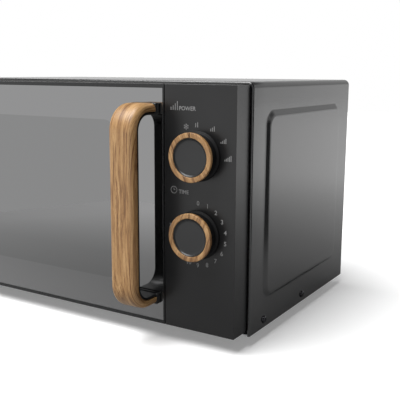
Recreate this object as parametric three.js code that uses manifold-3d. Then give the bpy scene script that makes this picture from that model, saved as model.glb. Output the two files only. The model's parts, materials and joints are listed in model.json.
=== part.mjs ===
// Compact microwave oven: wrapped steel case, side-hinged mirror door with a wood-covered
// pull handle, and a black panel with two rotary controls. Millimetres, +Z up, front to -Y.
import * as THREE from 'three';
import * as BufferGeometryUtils from 'three/addons/utils/BufferGeometryUtils.js';
import Module from 'manifold-3d';

const wasm = await Module();
wasm.setup();

// ---------------------------------------------------------------- driving dimensions
const GAP = 0.3;                       // clearance between pieces that touch
const SHEET = 0.7;                     // steel sheet thickness
const CASE = { half: 220, bottom: 12, top: 259.3, front: 27, back: 281, corner: 6 };
const PLATE = { z: [12.3, 13.3], flange_z: [12.5, 30], upright_bottom: 13.6, back: 279 };
const EMBOSS = { rise: 3, slope: 6, front: 53, back: 249.5, bottom: 42, top: 232.5, corner: 16 };
const FACE = { half: 217.4, bottom: 17.2, top: 257.2, split: 138.4 };   // door and panel outline
const SPLIT_GAP = 1;                   // gap between the door and the control panel
const PANEL = { back: 26.7, skin: 3, wall: 2.5 };
const DOOR = { back: 24.7, front_wall: [3.3, 6], wall: 2.5, rim: 3.4 };
const GLASS = { thick: 3, side_rim: 1.3 };
const PAN = { x: [-202, 108], y: [15, 21.2], z: [31, 243.4], sheet: 1 };   // the door's inner sheet
const CHOKE = { y: 21.5, x: [-188, 94], z: [46, 228.4], corner: 10 };
const WINDOW = { x: [-172, 65.4], z: [54.7, 220.7], corner: 14 };
const CAVITY = { x: [-198, 104], y: [28.3, 272], z: [38, 238], corner: 4 };
const HINGE = { x: -210, y: 16.5, pin: 2.5, hole: 2.8, arm: [251, 253], arm_half: 4, arm_back: 29.5,
  pin_low: 240, flange_low: 226, notch_z: 252.1, boss_z: 243 };
const LATCH = { x: 120, bar: [88, 212], bar_half: 5.5, bar_y: [8, 13], hooks: [100, 200], hook_half: 1.5,
  reach: 48, barb_y: 42, stop: [233, 235.5] };
const SWITCH = { y: [60.3, 88], half: 5, half_height: 8, plunger: 1.8, tab_end: 96, tab_half: 0.5 };
const HANDLE = { x: [102.4, 132.4], z: [38.4, 239.2], reach: 43, bend: 26, wood: 8, edge: 6.5, core: 2.7,
  core_inset: 0.8, block_y: -5.4, stem: 4, stem_hole: 4.4, stem_inset: 5.5 };
const KNOB = { x: 177, power_z: 190.8, timer_z: 115.2, height: 16, ring: [18.4, 23.2], seat: -12.3,
  skirt: 21.5, flange: 24, dish: [-13.8, -15.4], dish_rim: 2 };
const SHAFT = { radius: 3, hole: 3.5, fit: 0.4 };
const UNIT = { front: 8, bush: 6.5, socket_end: 21, power: [22, 38], timer: [29, 44] };  // [half width, back]
const TURN = { x: (CAVITY.x[0] + CAVITY.x[1]) / 2, y: (CAVITY.y[0] + CAVITY.y[1]) / 2, plate: 116,
  thick: 3.6, height: 11.4 };
const ROLLER = { radius: 7.2, width: 8, track: 91.5, axle: 2, bore: 2.4, hoop: [80, 86.5] };
const FAN = { x: 160, z: 177, radius: 48, bore: 51, blades: 5, hub: 13, hub_y: [253, 271], frame_half: 53,
  frame_y: [246, 278.5], blade: [1.6, 22], blade_y: 262, blade_tilt: 0.65 };
const VENT = { slot: [36, 6], pitch: 14, intake_dx: 22, exhaust_x: [-165, -120, -75], exhaust_z: 206 };
const FOOT = { x: 188, y: [62, 246], radius: 10, flare: 1.5, stud: 3, spigot: 1.6 };
const SCREW = { y: [58, 154.4], z: 20.5, head: 4, shank: 1.6, length: 10 };
const GLAND = { x: 150, z: 40, flange: 9, neck: 5.7, bore: 3.6, front: 268, back: 284 };
const MID = { z: (FACE.bottom + FACE.top) / 2 };
const TRANSFORMER = { x: [120, 202], y: [50, 100], z: [13.9, 79.9], bays: [[134, 148], [174, 188]],
  bay_z: [27, 67], coil_x: [134.6, 187.4], coil_y: [38, 112], primary: [28, 46], secondary: [48, 66] };
const CAN = { x: [110, 160], y: [125, 218], z: [14, 47], corner: 16.4, terminals: [123, 147] };
const TUBE = { y: 150, z: 185, yoke_x: [130, 196], yoke_half: 38, yoke_z: [152, 218], fins: 6, anode: 21 };
const GUIDE = { x: 127, y: [106, 194], z: [146, 224], wall: 1.2, window_y: [116, 184], window_z: [154, 216] };
const COVER = { x: [103, 103.7], y: [110, 190], z: [148, 222] };
const LAMP = { y: 225, z: 215, hole: 9, cup_x: [118, 141], cup_half: 11, bulb: 8.2 };
const CUTOUT = { y: 215, z: 120, radius: 8 };
const BOARD = { x: [112, 205], y: [196, 240], z: [242, 243.6] };
const DRIVE = { can: 24.5, can_z: [18, 34], ear_z: [34.2, 36.5], ear_reach: 35, hub_z: [39.5, 43.5], lobe_top: 51 };

// ---------------------------------------------------------------- materials
const finish = (color, roughness, metalness = 0) =>
  new THREE.MeshStandardMaterial({ color, roughness, metalness });

const casePaint = () => finish(0x141415, 0.32);
const blackPlastic = () => finish(0x17181a, 0.38);
const wood = () => finish(0xa9794c, 0.55);
const mirrorGlass = () => finish(0x8f8f8f, 0.06, 0.6);
const clearGlass = () => finish(0xcfe3df, 0.08);
const zincSteel = () => finish(0xa9abad, 0.4, 0.9);
const cavityPaint = () => finish(0xc9c8c2, 0.45);
const whitePlastic = () => finish(0xe6e4dc, 0.5);
const rubber = () => finish(0x1b1b1b, 0.8);
const copper = () => finish(0xa8622f, 0.4, 0.8);
const mica = () => finish(0xb6a98c, 0.6);
const board = () => finish(0x8a6a3a, 0.6);

// ---------------------------------------------------------------- shape helpers
function tidy(geometry) {
  const bare = geometry.clone();
  for (const name of Object.keys(bare.attributes)) {
    if (name !== 'position') bare.deleteAttribute(name);
  }
  const merged = BufferGeometryUtils.mergeVertices(bare, 1e-4);
  const index = merged.index.array;
  const kept = [];
  for (let i = 0; i < index.length; i += 3) {
    const corners = [index[i], index[i + 1], index[i + 2]];
    if (new Set(corners).size === 3) kept.push(...corners);
  }
  merged.setIndex(kept);
  return merged;
}

function outward(geometry) {
  const solid = tidy(geometry);
  const at = solid.attributes.position;
  const index = Array.from(solid.index.array);
  const corner = (i) => new THREE.Vector3().fromBufferAttribute(at, index[i]);
  let volume = 0;
  for (let i = 0; i < index.length; i += 3) {
    volume += corner(i).dot(corner(i + 1).cross(corner(i + 2)));
  }
  if (volume < 0) solid.setIndex(index.reverse());
  return solid;
}

function toManifold(geometry) {
  const solid = outward(geometry);
  const vertProperties = new Float32Array(solid.attributes.position.array);
  const triVerts = new Uint32Array(solid.index.array);
  return new wasm.Manifold(new wasm.Mesh({ numProp: 3, vertProperties, triVerts }));
}

function fromManifold(solid) {
  const mesh = solid.getMesh();
  const geometry = new THREE.BufferGeometry();
  geometry.setAttribute('position', new THREE.BufferAttribute(mesh.vertProperties, 3));
  geometry.setIndex(Array.from(mesh.triVerts));
  return geometry;
}

function join(...geometries) {
  const [first, ...rest] = geometries.map(toManifold);
  return fromManifold(rest.reduce((sum, solid) => sum.add(solid), first));
}

function cut(base, ...tools) {
  const start = toManifold(base);
  return fromManifold(tools.map(toManifold).reduce((left, tool) => left.subtract(tool), start));
}

function box([x0, x1], [y0, y1], [z0, z1]) {
  const shape = new THREE.BoxGeometry(x1 - x0, y1 - y0, z1 - z0);
  return shape.translate((x0 + x1) / 2, (y0 + y1) / 2, (z0 + z1) / 2);
}

// A body turned about an axis: profile is a list of [radius, distance along the axis].
function turned(axis, profile, [c0, c1], sides = 24) {
  const points = profile.map(([radius, along]) => new THREE.Vector2(radius, along));
  const shape = new THREE.LatheGeometry(points, sides);
  if (axis === 'x') return outward(shape.rotateZ(-Math.PI / 2).translate(0, c0, c1));
  if (axis === 'y') return outward(shape.translate(c0, 0, c1));
  return outward(shape.rotateX(Math.PI / 2).translate(c0, c1, 0));
}

const rod = (axis, [from, to], radius, centre, sides = 16) =>
  turned(axis, [[0, from], [radius, from], [radius, to], [0, to]], centre, sides);

function ring(axis, [from, to], [inner, outer], centre, sides = 24) {
  const profile = [[inner, from], [outer, from], [outer, to], [inner, to], [inner, from]];
  return turned(axis, profile, centre, sides);
}

function roundedRect([u0, u1], [v0, v1], radius) {
  const shape = new THREE.Shape();
  const quarter = Math.PI / 2;
  shape.moveTo(u0 + radius, v0);
  shape.lineTo(u1 - radius, v0);
  shape.absarc(u1 - radius, v0 + radius, radius, -quarter, 0, false);
  shape.lineTo(u1, v1 - radius);
  shape.absarc(u1 - radius, v1 - radius, radius, 0, quarter, false);
  shape.lineTo(u0 + radius, v1);
  shape.absarc(u0 + radius, v1 - radius, radius, quarter, 2 * quarter, false);
  shape.lineTo(u0, v0 + radius);
  shape.absarc(u0 + radius, v0 + radius, radius, 2 * quarter, 3 * quarter, false);
  return shape;
}

const extruded = (shape, depth, curveSegments) =>
  new THREE.ExtrudeGeometry(shape, { depth, bevelEnabled: false, curveSegments });

// Prisms of an outline drawn in (x, z), in (x, y) or in (y, z).
const prismY = (shape, [y0, y1], arc = 4) =>
  outward(extruded(shape, y1 - y0, arc).rotateX(Math.PI / 2).translate(0, y1, 0));
const prismZ = (shape, [z0, z1], arc = 3) => outward(extruded(shape, z1 - z0, arc).translate(0, 0, z0));

// A skin over equal convex loops of points, closed by a fan at each end.
function loft(loops) {
  const size = loops[0].length;
  const index = [];
  for (let row = 0; row + 1 < loops.length; row += 1) {
    for (let i = 0; i < size; i += 1) {
      const [a, b] = [row * size + i, row * size + ((i + 1) % size)];
      index.push(a, b, b + size, a, b + size, a + size);
    }
  }
  const last = (loops.length - 1) * size;
  for (let i = 1; i + 1 < size; i += 1) {
    index.push(0, i + 1, i);
    index.push(last, last + i, last + i + 1);
  }
  const geometry = new THREE.BufferGeometry().setFromPoints(loops.flat());
  geometry.setIndex(index);
  return outward(geometry);
}

const both = (value) => [value, 2 * MID.z - value];     // a height and its mirror in the door
const spanAround = (centre, half) => [centre - half, centre + half];

// ---------------------------------------------------------------- assembly
const oven = new THREE.Group();

function piece(name, geometry, material) {
  const shape = geometry.index ? geometry : tidy(geometry);
  shape.computeVertexNormals();
  const mesh = new THREE.Mesh(shape, material);
  mesh.name = name;
  oven.add(mesh);
}

// ---------------------------------------------------------------- case and chassis
function embossPad(side, inset) {
  const level = CASE.half - inset;
  const loop = (grow, x) => {
    const y = [EMBOSS.front + grow, EMBOSS.back - grow];
    const z = [EMBOSS.bottom + grow, EMBOSS.top - grow];
    const outline = roundedRect(y, z, EMBOSS.corner - grow).getPoints(4);
    return outline.slice(0, -1).map((p) => new THREE.Vector3(side * x, p.x, p.y));
  };
  return loft([loop(0, level - 0.001), loop(EMBOSS.slope, level + EMBOSS.rise)]);
}

function wrapOutline(inset) {
  const half = CASE.half - inset;
  const top = CASE.top - inset;
  const radius = CASE.corner - inset;
  const shape = new THREE.Shape();
  shape.moveTo(-half, CASE.bottom - 1);
  shape.lineTo(half, CASE.bottom - 1);
  shape.lineTo(half, top - radius);
  shape.absarc(half - radius, top - radius, radius, 0, Math.PI / 2, false);
  shape.lineTo(-half + radius, top);
  shape.absarc(-half + radius, top - radius, radius, Math.PI / 2, Math.PI, false);
  return shape;
}

function outerCase() {
  const block = join(prismY(wrapOutline(0), [CASE.front, CASE.back]), embossPad(-1, 0), embossPad(1, 0));
  const hollow = join(
    prismY(wrapOutline(SHEET), [CASE.front - 5, CASE.back + 5]),
    embossPad(-1, SHEET),
    embossPad(1, SHEET),
  );
  const below = box([-300, 300], [0, 400], [CASE.bottom - 20, CASE.bottom]);
  const holes = SCREW.y.map((y) => rod('x', [-300, 300], SCREW.shank + 0.5, [y, SCREW.z], 12));
  return cut(block, hollow, below, ...holes);
}

function basePlate() {
  const outer = CASE.half - SHEET - GAP;
  const y = [CASE.front + SHEET + GAP, PLATE.back - GAP];
  const floor = box([-outer, outer], y, PLATE.z);
  const flanges = [-1, 1].map((side) =>
    box([outer - SHEET, outer].map((x) => side * x).sort((a, b) => a - b), y, PLATE.flange_z));
  const studs = FOOT.y.flatMap((fy) =>
    [-1, 1].map((side) => rod('z', [5, 20], FOOT.stud + GAP, [side * FOOT.x, fy], 16)));
  const holes = SCREW.y.map((sy) => rod('x', [-300, 300], SCREW.shank + GAP, [sy, SCREW.z], 12));
  return cut(join(floor, ...flanges), ...studs, ...holes);
}

function slotRow(xs, z) {
  const [width, height] = VENT.slot;
  return xs.map((x) => box(spanAround(x, width / 2), spanAround(PLATE.back, 10), spanAround(z, height / 2)));
}

function backPanel() {
  const outer = CASE.half - SHEET - GAP;
  const outline = roundedRect([-outer, outer], [PLATE.upright_bottom, CASE.top - SHEET - GAP], CASE.corner);
  const sheet = prismY(outline, [PLATE.back, PLATE.back + SHEET]);
  const intake = [-2, -1, 0, 1, 2].flatMap((row) =>
    slotRow([FAN.x - VENT.intake_dx, FAN.x + VENT.intake_dx], FAN.z + VENT.pitch * row));
  const exhaust = [0, 1, 2].flatMap((row) => slotRow(VENT.exhaust_x, VENT.exhaust_z + VENT.pitch * row));
  const inlet = rod('y', spanAround(PLATE.back, 10), GLAND.neck + GAP, [GLAND.x, GLAND.z], 16);
  return cut(sheet, ...intake, ...exhaust, inlet);
}

function frontPlate() {
  const inset = SHEET + GAP;
  const outline = roundedRect([inset - CASE.half, FACE.split + 4], [PLATE.upright_bottom, CASE.top - inset],
    CASE.corner);
  const sheet = prismY(outline, [CASE.front, CASE.front + SHEET]);
  const through = spanAround(CASE.front, 10);
  const mouth = prismY(roundedRect(CAVITY.x, CAVITY.z, CAVITY.corner), through);
  const hookSlots = LATCH.hooks.map((z) => box(spanAround(LATCH.x, 5), through, [z - 9, z + 12]));
  const armZ = (HINGE.arm[0] + HINGE.arm[1]) / 2;
  const hingeSlots = both(armZ).map((z) => box([HINGE.x - 4.5, HINGE.x + 5], through, spanAround(z, 1.6)));
  return cut(sheet, mouth, ...hookSlots, ...hingeSlots);
}

function cavityLiner() {
  const [x0, x1] = CAVITY.x;
  const [y0, y1] = CAVITY.y;
  const [z0, z1] = CAVITY.z;
  const shell = roundedRect([x0 - SHEET, x1 + SHEET], [z0 - SHEET, z1 + SHEET], CAVITY.corner + SHEET);
  const space = roundedRect(CAVITY.x, CAVITY.z, CAVITY.corner);
  const driveHole = rod('z', spanAround(z0, 5), 2 * SHAFT.radius, [TURN.x, TURN.y], 16);
  const waveHole = box(spanAround(x1, 5), GUIDE.window_y, GUIDE.window_z);
  const lampHole = rod('x', spanAround(x1, 5), LAMP.hole, [LAMP.y, LAMP.z], 16);
  return cut(prismY(shell, [y0, y1 + SHEET]), prismY(space, [y0 - 5, y1]), driveHole, waveHole, lampHole);
}

function waveguide() {
  const within = ([low, high]) => [low + GUIDE.wall, high - GUIDE.wall];
  const shell = box([CAVITY.x[1] + SHEET + GAP, GUIDE.x], GUIDE.y, GUIDE.z);
  const space = box([CAVITY.x[1], GUIDE.x - GUIDE.wall], within(GUIDE.y), within(GUIDE.z));
  return cut(shell, space, rod('x', spanAround(GUIDE.x, 5), 10, [TUBE.y, TUBE.z], 16));
}

function hinge(upper) {
  const flip = (z) => (upper ? z : 2 * MID.z - z);
  const span = (a, b) => [flip(a), flip(b)].sort((p, q) => p - q);
  const [low, high] = HINGE.arm;
  const left = HINGE.x - HINGE.arm_half;
  const arm = box([left, HINGE.x + HINGE.arm_half], [HINGE.y, HINGE.arm_back], span(low, high));
  const nose = rod('z', span(low, high), HINGE.arm_half, [HINGE.x, HINGE.y], 16);
  const flange = box([left, HINGE.x + 10], [CAVITY.y[0], HINGE.arm_back], span(HINGE.flange_low, high));
  const pin = rod('z', span(HINGE.pin_low, low + 0.5), HINGE.pin, [HINGE.x, HINGE.y], 16);
  return join(arm, nose, flange, pin);
}

function foot(x, y) {
  const top = CASE.bottom + FOOT.spigot;
  const profile = [
    [0, 0], [FOOT.radius - 1, 0], [FOOT.radius, 1], [FOOT.radius + FOOT.flare, CASE.bottom],
    [FOOT.stud, CASE.bottom], [FOOT.stud, top], [0, top],
  ];
  return turned('z', profile, [x, y], 16);
}

function caseScrew(side, y) {
  const face = CASE.half + GAP;
  const profile = [
    [0, face - SCREW.length], [SCREW.shank, face - SCREW.length], [SCREW.shank, face], [SCREW.head, face],
    [SCREW.head, face + 1], [SCREW.head - 1.2, face + 2.2], [0, face + 2.4],
  ];
  return turned('x', profile.map(([r, x]) => [r, side * x]), [y, SCREW.z], 12);
}

function controlPanel() {
  const x = [FACE.split + SPLIT_GAP / 2, FACE.half];
  const outer = box(x, [0, PANEL.back], [FACE.bottom, FACE.top]);
  const inner = box(
    [x[0] + PANEL.wall, x[1] - PANEL.wall],
    [PANEL.skin, PANEL.back + 5],
    [FACE.bottom + PANEL.wall, FACE.top - PANEL.wall],
  );
  const holes = [KNOB.power_z, KNOB.timer_z].map((z) => rod('y', [-5, 8], SHAFT.hole, [KNOB.x, z], 16));
  return cut(outer, inner, ...holes);
}

function cordGland() {
  const seat = PLATE.back + SHEET + 2 * GAP;
  const profile = [
    [GLAND.bore, GLAND.front], [GLAND.neck, GLAND.front], [GLAND.neck, seat], [GLAND.flange, seat],
    [GLAND.flange - 1, GLAND.back], [GLAND.bore, GLAND.back], [GLAND.bore, GLAND.front],
  ];
  return turned('y', profile, [GLAND.x, GLAND.z], 18);
}

// ---------------------------------------------------------------- works behind the panel
function rotaryUnit(z, [half, back]) {
  const body = box(spanAround(KNOB.x, half), [UNIT.front, back], spanAround(z, half));
  const bush = rod('y', [PANEL.skin + GAP, UNIT.front + 1], UNIT.bush, [KNOB.x, z], 16);
  const socket = rod('y', [0, UNIT.socket_end], SHAFT.radius + SHAFT.fit, [KNOB.x, z], 16);
  return cut(join(body, bush), socket);
}

function timerBell() {
  const seat = UNIT.timer[1] + GAP;
  const profile = [
    [0, seat], [4, seat], [4, seat + 7.7], [20, seat + 3.7], [20.6, seat + 4.7], [19, seat + 9.7],
    [10, seat + 13.7], [0, seat + 14.7],
  ];
  return turned('y', profile, [KNOB.x, KNOB.timer_z], 14);
}

function latchHousing() {
  const back = SWITCH.y[0] - GAP;
  const block = box([LATCH.x - 12, LATCH.x + 14], [CAVITY.y[0], back], [LATCH.bar[0] - 2, LATCH.bar[1] + 6]);
  const pockets = LATCH.hooks.map((z) => box(spanAround(LATCH.x, 6), [20, back - 4], [z - 10, z + 13]));
  const plungers = LATCH.hooks.map((z) =>
    rod('y', spanAround(back, 10), SWITCH.plunger + 0.7, [LATCH.x, z], 16));
  return cut(block, ...pockets, ...plungers);
}

function doorSwitch(z) {
  const [front, back] = SWITCH.y;
  const body = box(spanAround(LATCH.x, SWITCH.half), SWITCH.y, spanAround(z, SWITCH.half_height));
  const tabs = [-5, 5].map((dz) =>
    box(spanAround(LATCH.x, 3), [back - 1, SWITCH.tab_end], spanAround(z + dz, SWITCH.tab_half)));
  return join(body, rod('y', [front - 7.3, front + 1.7], SWITCH.plunger, [LATCH.x, z], 16), ...tabs);
}

// ---------------------------------------------------------------- power parts
function transformerCore() {
  const bays = TRANSFORMER.bays.map((x) => box(x, [40, 110], TRANSFORMER.bay_z));
  return cut(box(TRANSFORMER.x, TRANSFORMER.y, TRANSFORMER.z), ...bays);
}

function winding(z) {
  const outer = roundedRect(TRANSFORMER.coil_x, TRANSFORMER.coil_y, 10);
  const leg = [TRANSFORMER.bays[0][1] - 0.4, TRANSFORMER.bays[1][0] + 0.4];
  const bore = roundedRect(leg, [TRANSFORMER.y[0] - 0.4, TRANSFORMER.y[1] + 0.4], 1);
  outer.holes.push(new THREE.Path(bore.getPoints(2)));
  return prismZ(outer, z, 4);
}

function capacitor() {
  const can = prismY(roundedRect(CAN.x, CAN.z, CAN.corner), CAN.y, 8);
  const terminals = CAN.terminals.map((x) => box(spanAround(x, 3), [CAN.y[0] - 13, CAN.y[0] + 2], [29.5, 31]));
  return join(can, ...terminals);
}

function magnetron() {
  const [left, right] = TUBE.yoke_x;
  const yoke = box(TUBE.yoke_x, spanAround(TUBE.y, TUBE.yoke_half), TUBE.yoke_z);
  const fins = Array.from({ length: TUBE.fins }, (_, i) => {
    const low = TUBE.yoke_z[0] + 5 + 9.6 * i;
    return box([left + 4, right - 4], spanAround(TUBE.y, 50), [low, low + 7]);
  });
  const anode = rod('x', [left + 1, right - 1], TUBE.anode, [TUBE.y, TUBE.z], 16);
  const flange = box([GUIDE.x + GAP, left + 0.5], spanAround(TUBE.y, 42), spanAround(TUBE.z, 25));
  const filterBox = box([right - 1, right + 18], spanAround(TUBE.y, 22), spanAround(TUBE.z, 23));
  return join(cut(yoke, ...fins), anode, flange, filterBox);
}

function magnetronAntenna() {
  const seat = GUIDE.x;
  const profile = [
    [0, seat - 19], [5, seat - 18.5], [7.5, seat - 16], [7.5, seat - 5], [9, seat - 5], [9, seat], [0, seat],
  ];
  return turned('x', profile, [TUBE.y, TUBE.z], 16);
}

function diode() {
  const lug = box([176, 184], [171, 181], [18.4, 19.6]);
  return join(rod('y', [150, 172], 4, [180, 19], 16), lug);
}

function filterBoard() {
  const face = BOARD.z[1] - 0.6;
  const plate = box(BOARD.x, BOARD.y, BOARD.z);
  const choke = rod('z', [face, face + 12], 8, [130, 218], 14);
  const fuse = box([150, 172], [205, 213], [face, face + 7]);
  const block = box([178, 196], [212, 232], [face, face + 11]);
  return join(plate, choke, fuse, block);
}

function thermalCutout() {
  const tabs = [-4, 4].map((dy) =>
    box([110, 120], spanAround(CUTOUT.y + dy, 0.4), spanAround(CUTOUT.z, 3)));
  const seat = CAVITY.x[1] + SHEET + GAP;
  return join(rod('x', [seat, seat + 6], CUTOUT.radius, [CUTOUT.y, CUTOUT.z], 14), ...tabs);
}

function lampHolder() {
  const [front, back] = LAMP.cup_x;
  const z = spanAround(LAMP.z, LAMP.cup_half);
  const block = box(LAMP.cup_x, [LAMP.y - LAMP.cup_half, LAMP.y + 12], z);
  const cup = cut(block, rod('x', [front - 8, back - 9], 7, [LAMP.y, LAMP.z], 14));
  return join(cup, box([CAVITY.x[1] + SHEET + GAP, front + 1], [LAMP.y + 10.5, LAMP.y + 12], z));
}

function lampBulb() {
  const tip = CAVITY.x[1] + 3;
  const profile = [
    [0, tip], [4, tip + 0.6], [LAMP.bulb - 0.6, tip + 3.5], [LAMP.bulb, tip + 6], [6.4, tip + 10],
    [6.4, tip + 24.5], [0, tip + 24.5],
  ];
  return turned('x', profile, [LAMP.y, LAMP.z], 16);
}

// ---------------------------------------------------------------- fan
function fanShroud() {
  const front = FAN.frame_y[0];
  const frame = box(spanAround(FAN.x, FAN.frame_half), FAN.frame_y, spanAround(FAN.z, FAN.frame_half));
  const bore = rod('y', [front + 2.5, 290], FAN.bore, [FAN.x, FAN.z], 28);
  const inlet = rod('y', spanAround(front, 5), FAN.bore - 3, [FAN.x, FAN.z], 28);
  const seat = ring('y', [front, front + 3], [5, 17], [FAN.x, FAN.z], 16);
  const spokes = [0, 1, 2].map((i) => {
    const spoke = new THREE.BoxGeometry(36, 3, 7).translate(33, 0, 0).rotateY((i * 2 * Math.PI) / 3);
    return spoke.translate(FAN.x, front + 1.5, FAN.z);
  });
  return join(cut(frame, bore, inlet), seat, ...spokes);
}

function fanMotor() {
  const stack = box(spanAround(FAN.x, 24), [214, 238], [FAN.z - 25, FAN.z + 21]);
  const bell = rod('y', [206, FAN.frame_y[0] - GAP], 13, [FAN.x, FAN.z], 16);
  const coil = box(spanAround(FAN.x, 20), [210, 242], [FAN.z - 24, FAN.z - 14]);
  return cut(join(stack, bell, coil), rod('y', [218, 260], SHAFT.radius + 0.5, [FAN.x, FAN.z], 12));
}

function fanImpeller() {
  const [thick, chord] = FAN.blade;
  const span = FAN.radius - FAN.hub + 2;
  const hub = rod('y', FAN.hub_y, FAN.hub, [FAN.x, FAN.z], 14);
  const shaft = rod('y', [222, FAN.hub_y[0] + 1], SHAFT.radius, [FAN.x, FAN.z], 12);
  const blades = [];
  for (let i = 0; i < FAN.blades; i += 1) {
    const blade = new THREE.BoxGeometry(span, thick, chord).rotateX(FAN.blade_tilt);
    blade.translate(FAN.radius - span / 2, 0, 0).rotateY((i * 2 * Math.PI) / FAN.blades);
    blades.push(blade.translate(FAN.x, FAN.blade_y, FAN.z));
  }
  return join(hub, shaft, ...blades);
}

// ---------------------------------------------------------------- turntable
const around = (geometry, turn) =>
  geometry.rotateZ(turn).translate(TURN.x, TURN.y, 0);
const thirds = [0, 1, 2].map((i) => Math.PI / 2 + (i * 2 * Math.PI) / 3);

function turntableMotor() {
  const [canTop, earTop] = [DRIVE.can_z[1], DRIVE.ear_z[1]];
  const can = rod('z', DRIVE.can_z, DRIVE.can, [TURN.x, TURN.y], 16);
  const ears = box(spanAround(TURN.x, DRIVE.ear_reach), spanAround(TURN.y, 6), DRIVE.ear_z);
  const collar = rod('z', [canTop - 1, earTop], 12, [TURN.x, TURN.y], 16);
  return cut(join(can, ears, collar), rod('z', [24, 50], SHAFT.radius + SHAFT.fit, [TURN.x, TURN.y], 12));
}

function turntableCoupler() {
  const shaft = rod('z', [26, 42], SHAFT.radius, [TURN.x, TURN.y], 12);
  const hub = rod('z', DRIVE.hub_z, 9, [TURN.x, TURN.y], 16);
  const lobes = thirds.map((turn) =>
    around(box([0, 12], [-3, 3], [DRIVE.hub_z[1] - 0.5, DRIVE.lobe_top]), turn));
  return join(shaft, hub, ...lobes);
}

function turntablePlate() {
  const r = TURN.plate;
  const under = CAVITY.z[0] + GAP + 2 * ROLLER.radius + GAP;
  const floor = under + TURN.thick;
  const top = under + TURN.height;
  const profile = [
    [0, under], [r - 14, under], [r - 9, under + 1], [r - 2, top - 2.8], [r, top - 1.8], [r, top],
    [r - 3, top], [r - 11, floor + 0.6], [r - 15, floor], [0, floor],
  ];
  const plate = turned('z', profile, [TURN.x, TURN.y], 36);
  const lugs = thirds.map((turn) => around(box([5, 11], [-2.5, 2.5], [46, 54]), turn + Math.PI / 3));
  return join(plate, ...lugs);
}

function rollerRing() {
  const axleZ = CAVITY.z[0] + GAP + ROLLER.radius;
  const track = ring('z', spanAround(axleZ, 2.2), ROLLER.hoop, [TURN.x, TURN.y], 32);
  const hub = ring('z', [axleZ - 2.2, axleZ + 1.5], [15, 20], [TURN.x, TURN.y], 18);
  const arms = thirds.map((turn) =>
    around(box([18, 82], [-3, 3], [axleZ - 2, axleZ + 1.2]), turn));
  const axles = thirds.map((turn) =>
    around(rod('x', [84, ROLLER.track + 5.6], ROLLER.axle, [0, axleZ], 10), turn));
  return join(track, hub, ...arms, ...axles);
}

function roller(turn) {
  const axleZ = CAVITY.z[0] + GAP + ROLLER.radius;
  const span = spanAround(ROLLER.track, ROLLER.width / 2);
  return around(ring('x', span, [ROLLER.bore, ROLLER.radius], [0, axleZ], 18), turn);
}

// ---------------------------------------------------------------- controls
function knobBody(z) {
  const profile = [
    [0, KNOB.seat], [KNOB.skirt - 0.5, KNOB.seat], [KNOB.skirt, KNOB.seat + 0.5], [KNOB.skirt, -3],
    [KNOB.flange, -2.2], [KNOB.flange, -0.6], [SHAFT.radius, -0.6], [SHAFT.radius, 18], [0, 18],
  ];
  return turned('y', profile, [KNOB.x, z], 24);
}

function knobRing(z) {
  const [inner, outer] = KNOB.ring;
  const back = KNOB.seat - GAP;
  const profile = [
    [inner, back], [outer - 0.8, back], [outer, back - 0.8], [outer, -KNOB.height + 1],
    [outer - 1, -KNOB.height], [inner, -KNOB.height], [inner, back],
  ];
  return turned('y', profile, [KNOB.x, z], 32);
}

function knobCap(z) {
  const back = KNOB.seat - GAP;
  const radius = KNOB.ring[0] - GAP;
  const [deep, rim] = KNOB.dish;
  const profile = [
    [0, deep], [radius - KNOB.dish_rim, deep], [radius - 0.4, rim], [radius, rim], [radius, back], [0, back],
  ];
  return turned('y', profile, [KNOB.x, z], 32);
}

// ---------------------------------------------------------------- door
const doorX = [-FACE.half, FACE.split - SPLIT_GAP / 2];
const hingeNotches = () =>
  both(HINGE.notch_z).map((z) => box([doorX[0] - 5, HINGE.x + 6.5], [9.5, 30], spanAround(z, 1.9)));
const stems = [HANDLE.z[0] + HANDLE.stem_inset, HANDLE.z[1] - HANDLE.stem_inset];
const handleX = (HANDLE.x[0] + HANDLE.x[1]) / 2;

function doorFrame() {
  const [x0, x1] = doorX;
  const corner = 2.4;                    // bevel that lets the hinged edge swing past the case
  const outline = new THREE.Shape();
  outline.moveTo(x0, 0);
  outline.lineTo(x1, 0);
  outline.lineTo(x1, DOOR.back);
  outline.lineTo(x0 + corner, DOOR.back);
  outline.lineTo(x0, DOOR.back - corner);
  const block = prismZ(outline, [FACE.bottom, FACE.top]);
  const inner = box(
    [x0 + DOOR.wall, x1 - DOOR.wall],
    [DOOR.front_wall[1], 40],
    [FACE.bottom + DOOR.wall, FACE.top - DOOR.wall],
  );
  const recess = box(
    [x0 + GLASS.side_rim, x1 - GLASS.side_rim],
    [-5, DOOR.front_wall[0]],
    [FACE.bottom + DOOR.rim, FACE.top - DOOR.rim],
  );
  const view = prismY(roundedRect(WINDOW.x, WINDOW.z, WINDOW.corner), [0, 10]);
  const shell = cut(block, inner, recess, view);
  const bosses = both(HINGE.boss_z).map((z) => box([x0 + 1, HINGE.x + 6], [11, 20.9], spanAround(z, 7)));
  const guides = [[111.5, 113.5], [126.5, 128.5]].map((x) => box(x, [5, 14], [112, 188]));
  const springStop = box(spanAround(LATCH.x, 6), [5, 15], LATCH.stop);
  const pinHoles = both(HINGE.boss_z).map((z) => rod('z', spanAround(z, 9), HINGE.hole, [HINGE.x, HINGE.y], 16));
  const stemHoles = stems.map((z) => rod('y', [0, 10], HANDLE.stem_hole, [handleX, z], 14));
  return cut(join(shell, ...bosses, ...guides, springStop), ...pinHoles, ...hingeNotches(), ...stemHoles);
}

function doorGlass() {
  const x = [doorX[0] + GLASS.side_rim + GAP, doorX[1] - GLASS.side_rim - GAP];
  const z = [FACE.bottom + DOOR.rim + GAP, FACE.top - DOOR.rim - GAP];
  return cut(box(x, [0, GLASS.thick], z), ...stems.map((s) => rod('y', [-5, 10], HANDLE.stem_hole, [handleX, s], 14)));
}

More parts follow.
